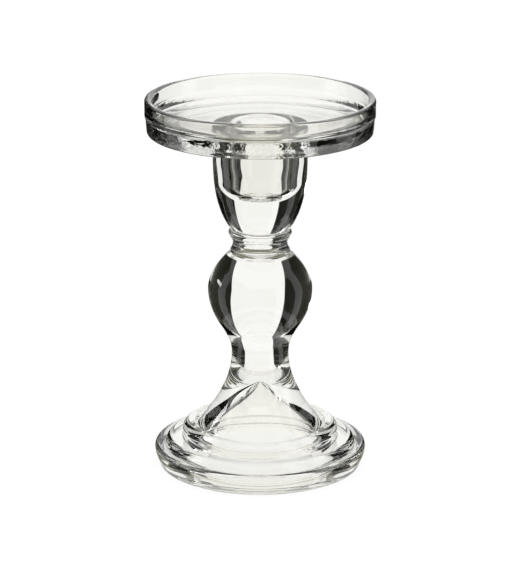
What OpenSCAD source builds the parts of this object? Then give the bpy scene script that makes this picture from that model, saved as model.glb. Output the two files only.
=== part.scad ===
// Glass candlestick for one pillar candle or one taper candle.
// A dished tray and a taper socket stand on a baluster stem and a stepped, hollow foot.
// Each piece is turned about the Z axis and is fused face to face with the next one.
// Heights are taken from the table, where the origin is, and each piece starts where the last one ends.

/* [Foot] */
// Radius of the foot at its widest
foot_r = 42.1; // [36:0.1:54]
// Height of the foot, up to its joint with the knop
foot_h = 49.6; // [42:0.1:60]
// Height of the base ring
base_ring_h = 8.5; // [7:0.1:10.5]
// How far the ground ring stands in from the widest radius
ground_inset = 1.7; // [1:0.1:2.4]
// Width of the ground ring that touches the table
ground_w = 3.6; // [2.5:0.1:5]
// Rounding outside the ground ring
ground_round = 0.8; // [0.5:0.1:1.2]
// Rounding of the base ring's shoulder
shoulder_round = 1.7; // [1:0.1:2.4]
// Width of the base ring's top, in to the crease
ledge_w = 4.1; // [3.4:0.1:5]
// Depth of the crease below the base ring's top
crease_drop = 0.6; // [0.3:0.1:1]
// Radius of the quarter-round step inside the crease
step_round = 3.2; // [2.6:0.1:4]
// Width of the flat between the step and the bead
step_flat_w = 3.8; // [3:0.1:4.6]
// Height of the bead's upright side
bead_side_h = 2.6; // [2:0.1:3.3]
// Rounding of the bead's outer edge
bead_round = 3.2; // [2.6:0.1:4]
// Width of the bead, from its outer edge in to the bell
bead_w = 6.1; // [5.2:0.1:7.4]
// How far the bell's edge lies below the bead's top
bell_drop = 0.6; // [0.2:0.1:1]
// Width of the slope from the bead's top down to the bell's edge
bell_seam_w = 1.2; // [0.8:0.1:1.8]

/* [Bell] */
// Smallest radius of the stem, above the bell
waist_r = 11.35; // [9.4:0.05:13.7]
// Height of the neck between the waist and the joint
waist_drop = 4.1; // [3.4:0.1:5]
// How far the joint with the knop stands out from the waist
joint_out = 0.4; // [0.2:0.05:0.6]
// How late the bell opens: 1 is a straight cone
bell_flare = 1.87; // [1.5:0.01:2.3]
// Height of the hollow under the bell
hollow_h = 33.4; // [28:0.1:37]
// Rounding at the top of the hollow
hollow_round = 0.9; // [0.6:0.1:1.4]
// Glass between the mouth of the hollow and the widest radius
hollow_margin = 13.1; // [11:0.1:15.5]
// How far the hollow's side swells out from straight
hollow_swell = 2.3; // [1.2:0.1:2.8]
// Depth of the recess inside the ground ring
recess_h = 1.8; // [1.4:0.1:2.4]

/* [Baluster knop] */
// Height of the knop
knop_h = 36.8; // [31:0.1:44]
// Radius of the knop at its belly
knop_r = 20.7; // [17.2:0.1:24.9]
// Height of the belly above the joint with the foot
belly_h = 22.6; // [19:0.1:26]
// Height of the hip, where the knop opens fastest
hip_h = 7.7; // [6.4:0.1:9.3]
// How far the hip stands out from the joint
hip_out = 3.85; // [3.2:0.05:4.7]
// How far the top of the knop stands out under the lower ring
knop_ledge = 1.4; // [0.8:0.1:1.8]

/* [Neck rings] */
// Radius of the lower ring
lower_ring_r = 11.8; // [10.9:0.1:14.2]
// Height of the lower ring's bead
lower_bead_h = 3.3; // [2.7:0.1:4]
// Radius of the upper ring
upper_ring_r = 12.5; // [11.9:0.1:15]
// Height of the upper ring's bead
upper_bead_h = 3.8; // [3.1:0.1:4.6]
// Radius of the groove between the rings
groove_r = 10.85; // [9:0.05:11.2]
// Height of each cove that runs from a bead to the groove
cove_h = 1.9; // [1.5:0.1:2.4]

/* [Taper socket] */
// Radius of the bore for the candle
bore_r = 11.5; // [9.5:0.1:13.8]
// Glass between the bore and the outside, at the top of the socket
socket_wall = 7.3; // [6:0.1:8.8]
// Height of the socket
socket_h = 38.1; // [34:0.1:46]
// Height of the socket's shoulder above the rings
shoulder_h = 16.2; // [13.5:0.1:19.5]
// How much thinner the wall is at the shoulder
shoulder_in = 0.9; // [0.4:0.1:1.4]
// How far the bottom of the socket stands in from the upper ring
seat_in = 0.4; // [0.2:0.1:0.8]
// Depth of the bore's straight wall below the tray's floor
bore_wall_h = 15.6; // [12.5:0.1:18.7]
// Depth of the whole bore below the tray's floor
bore_depth = 29.3; // [26.5:0.1:32]
// Rounding at the bottom of the bore
bore_round = 5.6; // [4.6:0.1:6.6]
// How far the bore narrows down to that rounding
bore_draft = 0.7; // [0.3:0.1:1.1]
// How far the middle of the bore's floor is raised
bore_rise = 1.4; // [0.8:0.1:2]

/* [Candle tray] */
// Radius of the tray at its rim
tray_r = 45; // [37.5:0.1:54]
// Height of the tray, from its underside to its lip
tray_h = 13.9; // [12:0.1:17]
// Thickness of the tray's floor
tray_floor_h = 4.2; // [3.6:0.1:5]
// Width of the slope around the tray's flat floor
slope_w = 6.9; // [5.6:0.1:8.2]
// Height of that slope
slope_h = 1.2; // [0.6:0.1:1.6]
// Thickness of the rim
rim_wall = 2.7; // [2.2:0.1:3.4]
// Height of the lower band of the rim, up to the mould step
band_h = 6.8; // [5.4:0.1:8.1]
// How far the lower band stands in from the rim
band_in = 0.35; // [0.15:0.05:0.6]
// How far the lower band narrows down to its bottom edge
band_draft = 0.4; // [0.1:0.05:0.7]
// Rounding of the tray's bottom edge
tray_edge_round = 1.4; // [1:0.1:2]
// Rounding of the lip
lip_round = 1.2; // [0.8:0.1:1.3]
// Rounding between the tray's slope and its rim
floor_round = 4.6; // [3.8:0.1:5.2]
// Rounding of the bore's mouth
mouth_round = 2.6; // [2.1:0.1:3.1]

/* [Hidden] */

$fn = 128;
arc_steps = 10;
curve_steps = 16;
bell_steps = 32;
glass_tint = [0.86, 0.90, 0.87, 0.45];

// How fast the radius grows with height at the stations of the curved sides
ring_growth = 0.42;
joint_growth = 0.2;
knop_growth = 0.35;
hip_growth = 0.68;
knop_top_growth = -0.98;
seat_growth = 0.66;
shoulder_growth = 0.14;
socket_top_growth = 0.02;
cove_growth = -0.5;
bore_growth = 0.05;

// Where arcs that don't run a full quarter start or end, in degrees
ground_end = -20;
step_start = 8;
bead_end = 50;

// Where a neck ring's cove starts, in from the ring, as a part of the bead's rounding
cove_start = 0.4;
// Largest rounding of the lip, as a part of the rim's thickness
lip_share = 0.48;

// Where each piece starts
knop_z = foot_h;
lower_ring_z = knop_z + knop_h;
upper_ring_z = lower_ring_z + lower_bead_h + cove_h;
socket_z = upper_ring_z + cove_h + upper_bead_h;
tray_z = socket_z + socket_h;

// Radii of the joint faces
joint_r = waist_r + joint_out;
knop_top_r = lower_ring_r + knop_ledge;
socket_seat_r = upper_ring_r - seat_in;
socket_r = bore_r + socket_wall;

// The foot's rings, from the outside inwards
ground_r = foot_r - ground_inset;
widest_h = base_ring_h - shoulder_round;
crease_r = foot_r - ledge_w;
crease_h = base_ring_h - crease_drop;
step_h = crease_h + step_round;
bead_r = crease_r - step_round - step_flat_w;
bead_h = step_h + bead_side_h + bead_round;
bell_r = bead_r - bead_w;
bell_h = bead_h - bell_drop;
waist_h = foot_h - waist_drop;
hollow_r = foot_r - hollow_margin;

// The bore's floor and the tray's floor
tray_floor_z = tray_z + tray_floor_h;
bore_floor_z = tray_floor_z - bore_depth;
bore_wall_z = tray_floor_z - bore_wall_h;

// Points on an arc; sections are drawn as [radius, height]
function arc(centre, radius, from, to) =
    [for (i = [0:arc_steps]) let (a = from + (to - from) * i / arc_steps)
        centre + radius * [cos(a), sin(a)]];

// Smooth curve from one station to the next; a station is [radius, height, growth of radius with height]
function sweep(from, to) = let (rise = to[1] - from[1])
    [for (i = [0:curve_steps]) let (t = i / curve_steps, u = 1 - t) [
        (1 + 2 * t) * u * u * from[0] + t * u * u * rise * from[2]
            + (3 - 2 * t) * t * t * to[0] - t * t * u * rise * to[2],
        from[1] + rise * t]];

// The bell's curve, from the bead up to the waist
function bell_curve() =
    [for (i = [0:bell_steps - 1]) let (t = 1 - i / bell_steps) [
        waist_r + (bell_r - waist_r) * pow(t, bell_flare),
        waist_h - (waist_h - bell_h) * t]];

// The hollow under the bell: a rounded point and a swelling side that runs down to the recess
function hollow_curve() = let (
    centre = [0, hollow_h - hollow_round],
    foot = [hollow_r, recess_h],
    reach = [hollow_r, centre[1] - recess_h],
    tangent = acos(hollow_round / norm(reach)) - atan2(reach[1], reach[0]),
    point = arc(centre, hollow_round, 90, tangent),
    top = point[len(point) - 1],
    side = foot - top,
    out = [-side[1], side[0]] / norm(side))
    concat(point, [for (i = [1:curve_steps]) let (t = i / curve_steps)
        top + side * t + out * hollow_swell * 4 * t * (1 - t)]);

module turned(outline) {
    color(glass_tint) rotate_extrude() polygon(outline);
}

module bell_foot() {
    turned(concat(
        hollow_curve(),
        [[ground_r - ground_w - recess_h / 2, recess_h], [ground_r - ground_w, 0]],
        arc([ground_r - ground_round, ground_round], ground_round, -90, ground_end),
        sweep([ground_r, ground_round, ring_growth], [foot_r, widest_h, 0]),
        arc([foot_r - shoulder_round, widest_h], shoulder_round, 0, 90),
        [[crease_r, crease_h]],
        arc([crease_r - step_round, crease_h], step_round, step_start, 90),
        [[bead_r, step_h]],
        arc([bead_r - bead_round, bead_h - bead_round], bead_round, 0, 90),
        [[bell_r + bell_seam_w, bead_h]],
        bell_curve(),
        sweep([waist_r, waist_h, 0], [joint_r, foot_h, joint_growth]),
        [[0, foot_h]]));
}

module baluster_knop() {
    hip = [joint_r + hip_out, knop_z + hip_h, hip_growth];
    belly = [knop_r, knop_z + belly_h, 0];
    turned(concat(
        [[0, knop_z]],
        sweep([joint_r, knop_z, knop_growth], hip),
        sweep(hip, belly),
        sweep(belly, [knop_top_r, lower_ring_z, knop_top_growth]),
        [[0, lower_ring_z]]));
}

// A rounded bead and the cove beside it; the bead is below the cove, or above it when flipped
module neck_ring(base_z, ring_r, bead_h, flipped) {
    h = bead_h + cove_h;
    edge = bead_h / 2;
    translate([0, 0, base_z + (flipped ? h : 0)])
        mirror([0, 0, flipped ? 1 : 0])
            turned(concat(
                [[0, 0]],
                arc([ring_r - edge, edge], edge, -90, bead_end),
                sweep([ring_r - edge * cove_start, bead_h, cove_growth], [groove_r, h, 0]),
                [[0, h]]));
}

module lower_neck_ring() {
    neck_ring(lower_ring_z, lower_ring_r, lower_bead_h, false);
}

module upper_neck_ring() {
    neck_ring(upper_ring_z, upper_ring_r, upper_bead_h, true);
}

module taper_socket() {
    shoulder = [socket_r - shoulder_in, socket_z + shoulder_h, shoulder_growth];
    corner_r = bore_r - bore_draft;
    turned(concat(
        [[0, socket_z]],
        sweep([socket_seat_r, socket_z, seat_growth], shoulder),
        sweep(shoulder, [socket_r, tray_z, socket_top_growth]),
        [[bore_r, tray_z]],
        sweep([bore_r, bore_wall_z, 0], [corner_r, bore_floor_z + bore_round, bore_growth]),
        arc([corner_r - bore_round, bore_floor_z + bore_round], bore_round, 0, -90),
        [[0, bore_floor_z + bore_rise]]));
}

module candle_tray() {
    inner_r = tray_r - rim_wall;
    band_r = tray_r - band_in;
    edge_r = band_r - band_draft - tray_edge_round;
    lip_r = min(lip_round, lip_share * rim_wall);
    lip_z = tray_z + tray_h - lip_r;
    turned(concat(
        [[bore_r, tray_z]],
        arc([edge_r, tray_z + tray_edge_round], tray_edge_round, -90, 0),
        [[band_r, tray_z + band_h], [tray_r, tray_z + band_h + band_in]],
        arc([tray_r - lip_r, lip_z], lip_r, 0, 90),
        arc([inner_r + lip_r, lip_z], lip_r, 90, 180),
        arc([inner_r - floor_round, tray_floor_z + slope_h + floor_round], floor_round, 0, -90),
        [[inner_r - floor_round - slope_w, tray_floor_z]],
        arc([bore_r + mouth_round, tray_floor_z - mouth_round], mouth_round, 90, 180)));
}

bell_foot();
baluster_knop();
lower_neck_ring();
upper_neck_ring();
taper_socket();
candle_tray();
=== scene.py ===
"""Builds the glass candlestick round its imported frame, on a pale stage between studio cards."""

import math

import bmesh
import bpy
from bpy.props import FloatProperty, FloatVectorProperty, IntProperty, PointerProperty
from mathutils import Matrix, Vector, noise


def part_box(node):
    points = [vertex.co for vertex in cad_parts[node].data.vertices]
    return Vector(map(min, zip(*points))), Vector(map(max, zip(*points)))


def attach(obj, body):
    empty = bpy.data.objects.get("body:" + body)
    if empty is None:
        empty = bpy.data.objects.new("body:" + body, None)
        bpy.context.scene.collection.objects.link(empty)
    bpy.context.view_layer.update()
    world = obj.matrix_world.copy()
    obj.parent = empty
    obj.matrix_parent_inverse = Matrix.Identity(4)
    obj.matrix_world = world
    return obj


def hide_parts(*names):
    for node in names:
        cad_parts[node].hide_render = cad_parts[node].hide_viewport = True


bl_info = {
    "name": "Glass Candlestick",
    "version": (1, 0, 0),
    "blender": (4, 5, 0),
    "location": "3D View > Sidebar > Candlestick",
    "description": "Turns the pieces of a pressed-glass candlestick and lights them",
    "category": "Object",
}

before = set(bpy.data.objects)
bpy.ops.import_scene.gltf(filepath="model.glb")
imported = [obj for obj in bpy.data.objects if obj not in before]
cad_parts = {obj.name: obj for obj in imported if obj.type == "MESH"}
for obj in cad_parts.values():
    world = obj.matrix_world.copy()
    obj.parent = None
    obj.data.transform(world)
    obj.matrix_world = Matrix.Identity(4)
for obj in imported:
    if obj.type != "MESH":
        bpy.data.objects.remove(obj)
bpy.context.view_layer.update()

# The pieces from the table upwards, each fused to the next
STACK = (
    "bell_foot",
    "baluster_knop",
    "lower_neck_ring",
    "upper_neck_ring",
    "taper_socket",
    "candle_tray",
)
MM = 0.001
SAME = 0.001 * MM  # corners of the frame's mesh nearer than this are one corner
NEAR = 0.01 * MM  # two points of an outline nearer than this are one point
STRAIGHT = 0.002 * MM  # a point that stands out less than this lies on a straight line
CORNER = math.radians(24)  # a sharper turn is a corner
EASE_SHARE = 0.45  # a worn corner takes at most this share of the line beside it
EASE_STEPS = 4  # short lines round a worn corner
TURN_STEP = math.radians(3)  # a curve turns no further than this in one step
NO_JOINT = 1.0  # distance given where a piece has no fused face

POOL_SCALE = 90.0  # pools of deeper tint in a metre
POLISH_SCALE = 420.0  # marks of the fire polish in a metre
BAND_TOP = 6.8 * MM  # top of the rough band, above the tray's underside
BAND_IN = 1.6 * MM  # how far in from the rim the rough band still reaches
FROST_IN = 4.5 * MM  # how far in from the rim the tray's matt floor starts
FROST_LOW = 1.2 * MM  # lowest matt point of the floor and the bore's mouth, above the underside
CALM_EDGE = 0.6 * MM  # over this distance, one skin gives way to the other

# Numbers of the sockets that have no name of their own
IN_PIECE = 3  # Texture Coordinate: place in the piece's own space
Z = 2  # Separate XYZ: height
LENGTH = 1  # Vector Math: a length
FACTOR, FIRST, SECOND, MIXED = 0, 6, 7, 2  # Mix, on colours

FLOOR_RADIUS = 4.0
FLOOR_STEPS = 96
FLOOR_DROP = 0.05 * MM  # how far the floor lies below the glass that stands on it
SENSOR = 36  # width of the camera's sensor in millimetres
VIEW_NEAR, VIEW_FAR = 0.01, 20

# Cards lie on the table from CARD_START to CARD_AWAY, and then stand up
CARD_START = 50 * MM
CARD_BEND = 70 * MM  # between the two, the flags' edges bend here
CARD_AWAY = 240 * MM
CARD_TOP = 240 * MM
CARD_LOW = -0.02 * MM  # height of a card that lies on the table
CARD_STEPS = 24  # flat strips in a bent card

# Edges of the cards, in degrees to the right of straight behind. Each flag has one at its start,
# its bend, the foot of its wall and its top
LEFT_FLAG = ((-70, -70, -70, -70), (-24, -19, -18, -13))
RIGHT_FLAG = ((24, 22, 22, 26), (66, 66, 66, 66))
SIDE_CARDS = {
    "left side card": (-146, -101),
    "left edge card": (-79, -70),
    "right edge card": (66, 79),
    "right side card": (101, 126),
}
FRONT_CARD = (146, 220)
FRONT_TOP = 200 * MM

# The window light stands a little in front of the cards
WINDOW = (-84, -66)
WINDOW_AWAY = 234 * MM
WINDOW_LOW, WINDOW_HIGH = 108 * MM, 130 * MM

# The painted shadow on the table runs round the foot, apart from the part behind it: a dim glowing
# sheet that only the glass shows
FOOT_SHADE = (24, 336)
SHADE_INNER, SHADE_OUTER = 43 * MM, 51 * MM
SHADE_LOW = -0.01 * MM


class CandlestickPressing(bpy.types.PropertyGroup):
    """How finely and how truly the glass is formed."""

    steps_round: IntProperty(
        name="Steps round", description="Faces round each piece", default=224, min=32, max=512
    )
    longest_step: FloatProperty(
        name="Longest step", description="Longest face along the section",
        default=0.8 * MM, unit="LENGTH",
    )
    corner_ease: FloatProperty(
        name="Corner easing", description="How far a moulded corner is worn back",
        default=0.3 * MM, unit="LENGTH",
    )
    wave_depth: FloatProperty(
        name="Wave depth", description="Depth of the slow waves in the glass skin",
        default=0.03 * MM, unit="LENGTH",
    )
    wave_length: FloatProperty(
        name="Wave length", description="Distance from one slow wave to the next",
        default=11 * MM, unit="LENGTH",
    )
    wave_fade: FloatProperty(
        name="Wave fade", description="Distance over which the waves die out beside a joint",
        default=1.6 * MM, unit="LENGTH",
    )


class CandlestickGlass(bpy.types.PropertyGroup):
    """Colour and skin of the glass."""

    clear: FloatVectorProperty(
        name="Clear glass", description="Colour where the glass is clearest",
        default=(0.96, 0.957, 0.932), subtype="COLOR", min=0, max=1,
    )
    olive: FloatVectorProperty(
        name="Deep glass", description="Colour where the glass looks thickest",
        default=(0.925, 0.921, 0.875), subtype="COLOR", min=0, max=1,
    )
    ior: FloatProperty(
        name="Index of refraction", description="How strongly the glass bends light", default=1.52
    )
    polish: FloatProperty(
        name="Polish", description="Roughness of the fire-polished skin", default=0.012,
        subtype="FACTOR",
    )
    frost: FloatProperty(
        name="Frost", description="Roughness of the tray's pressed floor",
        default=0.16, min=0, max=1,
    )
    ripple_depth: FloatProperty(
        name="Ripple depth", description="Depth of the fine ripples in the skin",
        default=0.006 * MM, unit="LENGTH",
    )


class CandlestickStudio(bpy.types.PropertyGroup):
    """Camera, floor and cards."""

    camera_away: FloatProperty(
        name="Camera distance", description="Distance from the axis to the camera",
        default=1066.2 * MM, unit="LENGTH",
    )
    camera_height: FloatProperty(
        name="Camera height", description="Height of the camera above the table",
        default=397.6 * MM, unit="LENGTH",
    )
    camera_aside: FloatProperty(
        name="Camera offset", description="How far the camera stands to the left",
        default=2.84 * MM, unit="LENGTH",
    )
    camera_pitch: FloatProperty(
        name="Camera pitch", description="How far the camera looks down",
        default=math.radians(16.835), unit="ROTATION",
    )
    lens: FloatProperty(
        name="Lens", description="Focal length in millimetres", default=180.6
    )
    floor_glow: FloatProperty(
        name="Floor glow", description="Light that the lit table gives back", default=0.9
    )
    sky: FloatProperty(
        name="Background", description="Brightness of the white background", default=1.03
    )
    floor_white: FloatProperty(
        name="Floor white", description="Share of the light falling on it that the table gives back",
        default=0.13, min=0, max=1,
    )
    card_tone: FloatVectorProperty(
        name="Card tone", description="Colour of the pale and grey cards",
        default=(1.0, 0.985, 0.74), subtype="COLOR", min=0, max=1,
    )
    flag_tone: FloatVectorProperty(
        name="Flag tone", description="Colour of the black flags",
        default=(1.0, 1.0, 0.92), subtype="COLOR", min=0, max=1,
    )
    flag_shade: FloatProperty(
        name="Flag shade", description="Brightness of the black flags", default=0.004
    )
    side_shade: FloatProperty(
        name="Side shade", description="Brightness of the cards at the sides", default=0.10
    )
    front_shade: FloatProperty(
        name="Front shade", description="Brightness of the card in front", default=0.22
    )
    foot_shade: FloatProperty(
        name="Foot shade", description="Brightness of the shade round the foot", default=0.50
    )
    window_glow: FloatProperty(
        name="Window light", description="Brightness of the window light", default=9.0
    )


def settings():
    """The three groups of settings: pressing, glass and studio."""
    scene = bpy.context.scene
    return scene.candlestick_pressing, scene.candlestick_glass, scene.candlestick_studio


# ---- sections of the pieces, read from the frame ----


def joined_points(edges):
    """The section's edges as a list of points and a table of each point's neighbours."""
    points, links = [], {}

    def number(point):
        for i, known in enumerate(points):
            if (known - point).length < NEAR:
                return i
        points.append(point)
        return len(points) - 1

    for a, b in edges:
        i, j = number(a), number(b)
        if i != j:
            links.setdefault(i, set()).add(j)
            links.setdefault(j, set()).add(i)
    return points, links


def half_section(node):
    """A piece's outline as (radius, height) points. It is open where the piece is solid on the axis."""
    mesh = bmesh.new()
    mesh.from_mesh(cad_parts[node].data)
    bmesh.ops.remove_doubles(mesh, verts=mesh.verts, dist=SAME)
    everything = mesh.verts[:] + mesh.edges[:] + mesh.faces[:]
    cut = bmesh.ops.bisect_plane(mesh, geom=everything, plane_co=(0, 0, 0), plane_no=(0, 1, 0))
    edges = []
    for edge in cut["geom_cut"]:
        if not isinstance(edge, bmesh.types.BMEdge):
            continue
        a, b = sorted((Vector((v.co.x, v.co.z)) for v in edge.verts), key=lambda p: p.x)
        if b.x < NEAR:
            continue
        if a.x < 0:
            a = a.lerp(b, -a.x / (b.x - a.x))
        edges.append((a, b))
    mesh.free()
    points, links = joined_points(edges)
    ends = [i for i in links if len(links[i]) == 1]
    start = min(ends or links, key=lambda i: points[i].y)
    chain, last = [start], None
    while True:
        onward = [j for j in sorted(links[chain[-1]]) if j != last]
        if not onward or onward[0] == start:
            break
        last = chain[-1]
        chain.append(onward[0])
    outline = [points[i] for i in chain]
    return without_straights(outline, closed=not ends), not ends


def without_straights(outline, closed):
    """The outline without the points that lie on a straight line between their neighbours."""
    kept = list(outline)
    i = 0 if closed else 1
    while i < len(kept) - (0 if closed else 1):
        before, here, after = kept[i - 1], kept[i], kept[(i + 1) % len(kept)]
        along = (after - before).normalized()
        beside = (here - before) - along * (here - before).dot(along)
        if beside.length < STRAIGHT:
            del kept[i]
        else:
            i += 1
    return kept


def flats(outline, closed, height):
    """The stretches of an outline that lie level at this height, as (inner, outer) radii."""
    found = []
    for a, b in zip(outline, outline[1:] + (outline[:1] if closed else [])):
        if abs(a.y - height) < NEAR and abs(b.y - height) < NEAR:
            found.append(tuple(sorted((a.x, b.x))))
    return found


def fused_faces():
    """Each piece's fused faces, as {piece: [(height, inner radius, outer radius)]}."""
    faces = {node: [] for node in STACK}
    for lower, upper in zip(STACK, STACK[1:]):
        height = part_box(upper)[0].z
        for low_in, low_out in flats(*SECTIONS[lower], height):
            for up_in, up_out in flats(*SECTIONS[upper], height):
                inner, outer = max(low_in, up_in), min(low_out, up_out)
                if outer - inner > NEAR:
                    faces[lower].append((height, inner, outer))
                    faces[upper].append((height, inner, outer))
    return faces


def with_points(outline, closed, faces):
    """The outline with a point at each end of each fused face."""
    for height, inner, outer in faces:
        for radius in (inner, outer):
            wanted = Vector((radius, height))
            if any((p - wanted).length < NEAR for p in outline):
                continue
            for i in range(len(outline) if closed else len(outline) - 1):
                a, b = outline[i], outline[(i + 1) % len(outline)]
                level = abs(a.y - height) < NEAR and abs(b.y - height) < NEAR
                if level and min(a.x, b.x) < radius < max(a.x, b.x):
                    outline.insert(i + 1, wanted)
                    break
    return outline


# ---- smooth outlines and turned solids ----


def eased(outline, closed, fixed, ease):
    """The outline with its sharp corners rounded a little, apart from the fixed points."""
    result = []
    count = len(outline)
    for i, here in enumerate(outline):
        end = not closed and i in (0, count - 1)
        before, after = outline[i - 1], outline[(i + 1) % count]
        if end or any((here - p).length < NEAR for p in fixed):
            result.append(here)
            continue
        if (here - before).angle(after - here) < CORNER:
            result.append(here)
            continue
        shorter = min((here - before).length, (after - here).length)
        back = min(ease, EASE_SHARE * shorter)
        a = here + (before - here).normalized() * back
        b = here + (after - here).normalized() * back
        for k in range(EASE_STEPS + 1):
            t = k / EASE_STEPS
            result.append(a * (1 - t) ** 2 + here * 2 * t * (1 - t) + b * t**2)
    return result


def smooth(outline, closed, fixed, longest):
    """The outline on a smooth curve through its points, which breaks only at the fixed points."""
    count = len(outline)

    def is_fixed(i):
        if not closed and i in (0, count - 1):
            return True
        return any((outline[i] - p).length < NEAR for p in fixed)

    def direction(i, step):
        """Direction at point i, on the side of the step that leaves it (1) or reaches it (-1)."""
        ahead = outline[(i + step) % count] - outline[i]
        if is_fixed(i):
            return ahead.normalized() * step
        return (outline[(i + 1) % count] - outline[i - 1]).normalized()

    result = []
    for i in range(count if closed else count - 1):
        j = (i + 1) % count
        a, b = outline[i], outline[j]
        length = (b - a).length
        leave, reach = direction(i, 1) * length, direction(j, -1) * length
        turn = leave.angle(reach) if length > NEAR else 0
        pieces = max(1, math.ceil(length / longest), math.ceil(turn / TURN_STEP))
        for k in range(pieces):
            t = k / pieces
            result.append(
                a * (1 + 2 * t) * (1 - t) ** 2 + leave * t * (1 - t) ** 2
                + b * (3 - 2 * t) * t**2 - reach * (1 - t) * t**2
            )
    if not closed:
        result.append(outline[-1])
    return result


def near_joint(point, faces):
    """Distance from an outline point to the nearest fused face."""
    gaps = [
        math.hypot(point.y - height, max(inner - point.x, 0, point.x - outer))
        for height, inner, outer in faces
    ]
    return min(gaps, default=NO_JOINT)


def wave_depth(point, faces):
    """Depth of the slow waves at an outline point. They die out at a joint, table and axis."""
    pressing = settings()[0]
    calm = min(near_joint(point, faces), point.y, point.x) / pressing.wave_fade
    calm = min(1, max(0, calm))
    return pressing.wave_depth * calm * calm * (3 - 2 * calm)


def turned_ring(mesh, point, normal, depth):
    """Corners of one ring of the turned skin, moved in and out along the normal by the waves."""
    pressing = settings()[0]
    ring = []
    for k in range(pressing.steps_round):
        angle = 2 * math.pi * k / pressing.steps_round
        across = Vector((math.cos(angle), math.sin(angle)))
        place = Vector((across.x * point.x, across.y * point.x, point.y))
        wave = depth * noise.noise(place / pressing.wave_length) if depth else 0
        radius = point.x + normal.x * wave
        ring.append(
            mesh.verts.new((across.x * radius, across.y * radius, point.y + normal.y * wave))
        )
    return ring


def join_rings(mesh, a, b, outward, slot):
    """Faces between two rings, either of which may be a single corner on the axis."""
    if len(a) == 1 and len(b) == 1:
        return
    steps = max(len(a), len(b))
    for k in range(steps):
        after = (k + 1) % steps
        if len(a) == 1:
            corners = (a[0], b[after], b[k])
        elif len(b) == 1:
            corners = (a[k], a[after], b[0])
        else:
            corners = (a[k], a[after], b[after], b[k])
        face = mesh.faces.new(corners if outward > 0 else corners[::-1])
        face.smooth = slot == 0
        face.material_index = slot


def turned_piece(name, section, closed, faces, materials):
    """A closed solid turned from the outline, with slow waves in its skin and clear fused faces."""
    pressing = settings()[0]
    fixed = [Vector((r, h)) for h, inner, outer in faces for r in (inner, outer)]
    outline = eased(with_points(section, closed, faces), closed, fixed, pressing.corner_ease)
    outline = smooth(outline, closed, fixed, pressing.longest_step)
    count = len(outline)
    area = sum(a.x * b.y - b.x * a.y for a, b in zip(outline, outline[1:] + outline[:1]))
    outward = 1 if area > 0 else -1
    mesh = bmesh.new()
    rings = []
    for i, point in enumerate(outline):
        if point.x < NEAR:
            rings.append([mesh.verts.new((0, 0, point.y))])
            continue
        along = outline[(i + 1) % count] - outline[i - 1]
        normal = Vector((along.y, -along.x)).normalized() * outward
        rings.append(turned_ring(mesh, point, normal, wave_depth(point, faces)))
    pairs = list(zip(range(count - 1), range(1, count))) + ([(count - 1, 0)] if closed else [])
    for i, j in pairs:
        middle = (outline[i] + outline[j]) / 2
        slot = 1 if near_joint(middle, faces) < NEAR else 0
        join_rings(mesh, rings[i], rings[j], outward, slot)
    mesh.normal_update()
    for edge in mesh.edges:
        slots = {face.material_index for face in edge.link_faces}
        edge.smooth = len(slots) == 1
    data = bpy.data.meshes.new(name)
    mesh.to_mesh(data)
    mesh.free()
    for material in materials:
        data.materials.append(material)
    piece = bpy.data.objects.new(name, data)
    bpy.context.scene.collection.objects.link(piece)
    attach(piece, "root")
    return piece


SECTIONS = {node: half_section(node) for node in STACK}
JOINTS = fused_faces()


# ---- materials ----


class Shade:
    """A node's output, in a form that Python arithmetic works on."""

    def __init__(self, nodes, socket):
        self.nodes, self.socket = nodes, socket

    def _math(self, operation, *values):
        node = self.nodes.add("ShaderNodeMath", {"operation": operation}, dict(enumerate(values)))
        return node[0]

    def __add__(self, other):
        return self._math("ADD", self, other)

    __radd__ = __add__

    def __mul__(self, other):
        return self._math("MULTIPLY", self, other)

    __rmul__ = __mul__


class Nodes:
    """The node tree of one material or of the background."""

    def __init__(self, owner):
        owner.use_nodes = True
        self.tree = owner.node_tree
        self.tree.nodes.clear()

    def add(self, kind, node_settings=None, sockets=None):
        """Adds a node, sets it, fills or links its sockets, and gives its outputs."""
        node = self.tree.nodes.new(kind)
        for name, value in (node_settings or {}).items():
            setattr(node, name, value)
        for key, value in (sockets or {}).items():
            if isinstance(value, Shade):
                self.tree.links.new(value.socket, node.inputs[key])
            else:
                node.inputs[key].default_value = value
        return [Shade(self, output) for output in node.outputs]

    def step(self, value, low, high):
        """Rises smoothly from 0, where the value is low, to 1, where it is high."""
        return self.add(
            "ShaderNodeMapRange", {"interpolation_type": "SMOOTHSTEP"},
            {"Value": value, "From Min": low, "From Max": high, "To Min": 0.0, "To Max": 1.0},
        )[0]


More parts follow.
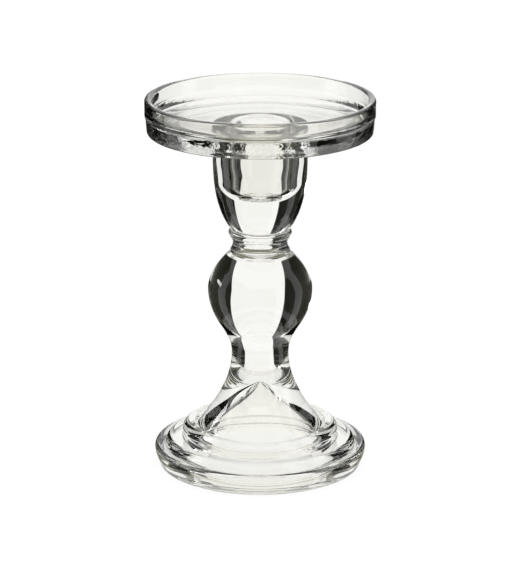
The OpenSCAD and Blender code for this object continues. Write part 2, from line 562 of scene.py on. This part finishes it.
def glass(name, ripple, ripple_length, band=None, frost=None):
    """Pressed clear glass: a faint tint that pools, a fire-polished skin and fine ripples.

    With a band, (lowest radius, greatest height), only the skin in that band is rippled. With a
    frost, (greatest radius, lowest height), the skin inside it is matt from the press.
    """
    _, look, _ = settings()
    material = bpy.data.materials.new(name)
    nodes = Nodes(material)
    place = nodes.add("ShaderNodeTexCoord")[IN_PIECE]
    pools = nodes.add(
        "ShaderNodeTexNoise", {}, {"Vector": place, "Scale": POOL_SCALE, "Detail": 3.0}
    )[0]
    ripples = nodes.add(
        "ShaderNodeTexNoise", {},
        {"Vector": place, "Scale": 1 / ripple_length, "Detail": 2.0, "Distortion": 0.6},
    )[0]
    if band is not None:
        across = nodes.add(
            "ShaderNodeVectorMath", {"operation": "MULTIPLY"}, {0: place, 1: (1, 1, 0)}
        )[0]
        away = nodes.add("ShaderNodeVectorMath", {"operation": "LENGTH"}, {0: across})[LENGTH]
        height = nodes.add("ShaderNodeSeparateXYZ", {}, {"Vector": place})[Z]
        ripples = ripples * nodes.step(away, band[0] - CALM_EDGE, band[0])
        ripples = ripples * nodes.step(height, band[1], band[1] - CALM_EDGE)
    marks = nodes.add(
        "ShaderNodeTexNoise", {}, {"Vector": place, "Scale": POLISH_SCALE, "Detail": 4.0}
    )[0]
    roughness = look.polish * marks
    if frost is not None:
        matt = nodes.step(away, frost[0], frost[0] - CALM_EDGE)
        matt = matt * nodes.step(height, frost[1], frost[1] + CALM_EDGE)
        roughness = roughness + look.frost * matt
    tint = nodes.add(
        "ShaderNodeMix", {"data_type": "RGBA"},
        {FACTOR: pools, FIRST: (*look.clear, 1), SECOND: (*look.olive, 1)},
    )[MIXED]
    relief = nodes.add(
        "ShaderNodeBump", {}, {"Height": ripples, "Strength": 1.0, "Distance": ripple}
    )[0]
    surface = nodes.add(
        "ShaderNodeBsdfPrincipled", {"distribution": "GGX"},
        {
            "Base Color": tint,
            "Roughness": roughness,
            "IOR": look.ior,
            "Transmission Weight": 1.0,
            "Normal": relief,
        },
    )[0]
    nodes.add("ShaderNodeOutputMaterial", {}, {"Surface": surface})
    return material


def fused_glass():
    """The inside of a joint, where two pieces are one glass and light goes straight on."""
    material = bpy.data.materials.get("fused glass")
    if material:
        return material
    material = bpy.data.materials.new("fused glass")
    nodes = Nodes(material)
    through = nodes.add("ShaderNodeBsdfPrincipled", {}, {"Alpha": 0.0})[0]
    nodes.add("ShaderNodeOutputMaterial", {}, {"Surface": through})
    return material


def glow(name, colour, strength, base=0.0):
    """A card or floor that gives even light."""
    material = bpy.data.materials.new(name)
    nodes = Nodes(material)
    surface = nodes.add(
        "ShaderNodeBsdfPrincipled", {},
        {
            "Base Color": (base, base, base, 1),
            "Roughness": 1.0,
            "Specular IOR Level": 0.0,
            "Emission Color": (*colour, 1),
            "Emission Strength": strength,
        },
    )[0]
    nodes.add("ShaderNodeOutputMaterial", {}, {"Surface": surface})
    return material


class GlassPiece:
    """What the operators that turn the pieces share."""

    bl_options = {"REGISTER", "UNDO"}
    ripple = 1.0
    ripple_length = 5 * MM
    band = None
    frost = None
    finish = "stem_glass"

    def turn(self, node):
        """Turns the piece that stands for a node of the frame, and gives it its skin."""
        look = settings()[1]
        section, closed = SECTIONS[node]
        ripple = look.ripple_depth * self.ripple
        skin = glass(
            node.replace("_", " "), ripple, self.ripple_length, self.band, self.frost
        )
        faces = JOINTS[node]
        piece = turned_piece(f"{node}_glass", list(section), closed, faces, [skin, fused_glass()])
        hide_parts(node)
        return {"FINISHED"}


class CANDLESTICK_OT_bell_foot(GlassPiece, bpy.types.Operator):
    """Turn the stepped foot with the hollow under its bell"""

    bl_idname = "candlestick.bell_foot"
    bl_label = "Bell foot"
    finish = "foot_glass"
    ripple = 0.4

    def execute(self, context):
        return self.turn("bell_foot")


class CANDLESTICK_OT_baluster_knop(GlassPiece, bpy.types.Operator):
    """Turn the solid baluster knop"""

    bl_idname = "candlestick.baluster_knop"
    bl_label = "Baluster knop"

    def execute(self, context):
        return self.turn("baluster_knop")


class CANDLESTICK_OT_neck_rings(GlassPiece, bpy.types.Operator):
    """Turn the two rings between the knop and the socket"""

    bl_idname = "candlestick.neck_rings"
    bl_label = "Neck rings"
    ripple = 4.0
    ripple_length = 3 * MM

    def execute(self, context):
        self.turn("lower_neck_ring")
        return self.turn("upper_neck_ring")


class CANDLESTICK_OT_taper_socket(GlassPiece, bpy.types.Operator):
    """Turn the socket with the well for a taper candle"""

    bl_idname = "candlestick.taper_socket"
    bl_label = "Taper socket"

    def execute(self, context):
        return self.turn("taper_socket")


class CANDLESTICK_OT_candle_tray(GlassPiece, bpy.types.Operator):
    """Turn the dished tray with its two-band rim"""

    bl_idname = "candlestick.candle_tray"
    bl_label = "Candle tray"
    finish = "tray_glass"
    ripple = 36.0
    ripple_length = 3 * MM
    band = (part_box("candle_tray")[1].x - BAND_IN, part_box("candle_tray")[0].z + BAND_TOP)
    frost = (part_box("candle_tray")[1].x - FROST_IN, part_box("candle_tray")[0].z + FROST_LOW)

    def execute(self, context):
        return self.turn("candle_tray")


# ---- the stage ----


def stage_object(name, data, material):
    """A thing that belongs to the studio and not to the candlestick."""
    data.materials.append(material)
    thing = bpy.data.objects.new(name, data)
    bpy.context.scene.collection.objects.link(thing)
    return thing


def bent_card(name, material, stations, starts, ends):
    """A card bent round the axis.

    Each station is the distance and height of one of its rows. The starts and ends are the
    angles of its side edges at each station, in degrees to the right of straight behind.
    """
    mesh = bmesh.new()
    rows = []
    for (away, height), start, end in zip(stations, starts, ends):
        row = []
        for k in range(CARD_STEPS + 1):
            angle = math.radians(start + (end - start) * k / CARD_STEPS)
            row.append(mesh.verts.new((away * math.sin(angle), away * math.cos(angle), height)))
        rows.append(row)
    for a, b in zip(rows, rows[1:]):
        for k in range(CARD_STEPS):
            mesh.faces.new((a[k], a[k + 1], b[k + 1], b[k]))
    data = bpy.data.meshes.new(name)
    mesh.to_mesh(data)
    mesh.free()
    card = stage_object(name, data, material)
    # Cards show in the glass, and leave the background, the floor and its shadows alone
    card.visible_camera = card.visible_diffuse = card.visible_shadow = False
    return card


def standing_card(name, material, starts, ends, top=CARD_TOP):
    """A card that lies on the table, then stands up; its edges are angles at four stations."""
    stations = (
        (CARD_START, CARD_LOW), (CARD_BEND, CARD_LOW), (CARD_AWAY, CARD_LOW), (CARD_AWAY, top)
    )
    return bent_card(name, material, stations, starts, ends)


class CANDLESTICK_OT_stage(bpy.types.Operator):
    """Lay the pale floor, put up the background and the cards, and place the camera"""

    bl_idname = "candlestick.stage"
    bl_label = "Stage"
    bl_options = {"REGISTER", "UNDO"}

    def execute(self, context):
        studio = settings()[2]
        self.lay_floor(studio)
        self.put_up_cards(studio)
        world = bpy.data.worlds.new("white background")
        bpy.context.scene.world = world
        nodes = Nodes(world)
        light = nodes.add(
            "ShaderNodeBackground", {}, {"Color": (1, 1, 1, 1), "Strength": studio.sky}
        )[0]
        nodes.add("ShaderNodeOutputWorld", {}, {"Surface": light})
        self.place_camera(studio)
        bpy.context.scene.view_settings.view_transform = "Standard"
        return {"FINISHED"}

    def lay_floor(self, studio):
        mesh = bmesh.new()
        bmesh.ops.create_circle(mesh, cap_ends=True, radius=FLOOR_RADIUS, segments=FLOOR_STEPS)
        bmesh.ops.translate(mesh, verts=mesh.verts, vec=(0, 0, -FLOOR_DROP))
        data = bpy.data.meshes.new("floor")
        mesh.to_mesh(data)
        mesh.free()
        pale = glow("pale floor", (1, 1, 1), studio.floor_glow, studio.floor_white)
        stage_object("floor", data, pale)

    def put_up_cards(self, studio):
        black = glow("black card", studio.flag_tone, studio.flag_shade)
        dim = glow("dim card", studio.card_tone, studio.side_shade)
        grey = glow("grey card", studio.card_tone, studio.front_shade)
        # Painted shadow round the foot: a sheet that glows dimmer than the floor
        pale = glow("painted foot shadow", studio.card_tone, studio.foot_shade)
        window = glow("window glass", (1, 1, 1), studio.window_glow)
        standing_card("left flag", black, *LEFT_FLAG)
        standing_card("right flag", black, *RIGHT_FLAG)
        for name, (start, end) in SIDE_CARDS.items():
            standing_card(name, dim, (start,) * 4, (end,) * 4)
        start, end = FRONT_CARD
        standing_card("front card", grey, (start,) * 4, (end,) * 4, FRONT_TOP)
        start, end = WINDOW
        stations = ((WINDOW_AWAY, WINDOW_LOW), (WINDOW_AWAY, WINDOW_HIGH))
        bent_card("window light", window, stations, (start,) * 2, (end,) * 2)
        # The foot shade is a painted shadow of the table round the foot, seen only through the glass
        start, end = FOOT_SHADE
        stations = ((SHADE_INNER, SHADE_LOW), (SHADE_OUTER, SHADE_LOW))
        bent_card("foot shade", pale, stations, (start,) * 2, (end,) * 2)

    def place_camera(self, studio):
        data = bpy.data.cameras.new("camera")
        data.lens = studio.lens
        data.sensor_width = SENSOR
        data.clip_start, data.clip_end = VIEW_NEAR, VIEW_FAR
        camera = bpy.data.objects.new("camera", data)
        bpy.context.scene.collection.objects.link(camera)
        camera.location = (-studio.camera_aside, -studio.camera_away, studio.camera_height)
        camera.rotation_euler = (math.pi / 2 - studio.camera_pitch, 0, 0)
        bpy.context.scene.camera = camera


class CANDLESTICK_PT_panel(bpy.types.Panel):
    """Lists the pieces, their settings and the stage"""

    bl_idname = "CANDLESTICK_PT_panel"
    bl_label = "Candlestick"
    bl_space_type = "VIEW_3D"
    bl_region_type = "UI"
    bl_category = "Candlestick"

    def draw(self, context):
        layout = self.layout
        for group in settings():
            box = layout.box()
            for name in group.__annotations__:
                box.prop(group, name)
        for operator in BUILD_ORDER:
            layout.operator(operator.bl_idname)


GROUPS = {
    "candlestick_pressing": CandlestickPressing,
    "candlestick_glass": CandlestickGlass,
    "candlestick_studio": CandlestickStudio,
}
BUILD_ORDER = (
    CANDLESTICK_OT_bell_foot,
    CANDLESTICK_OT_baluster_knop,
    CANDLESTICK_OT_neck_rings,
    CANDLESTICK_OT_taper_socket,
    CANDLESTICK_OT_candle_tray,
    CANDLESTICK_OT_stage,
)


def register():
    for cls in (*GROUPS.values(), *BUILD_ORDER, CANDLESTICK_PT_panel):
        bpy.utils.register_class(cls)
    for name, group in GROUPS.items():
        setattr(bpy.types.Scene, name, PointerProperty(type=group))


def unregister():
    for name in GROUPS:
        delattr(bpy.types.Scene, name)
    for cls in (CANDLESTICK_PT_panel, *reversed(BUILD_ORDER), *reversed(GROUPS.values())):
        bpy.utils.unregister_class(cls)


def main():
    register()
    for operator in BUILD_ORDER:
        area, name = operator.bl_idname.split(".")
        getattr(getattr(bpy.ops, area), name)()


if __name__ == "__main__":
    main()
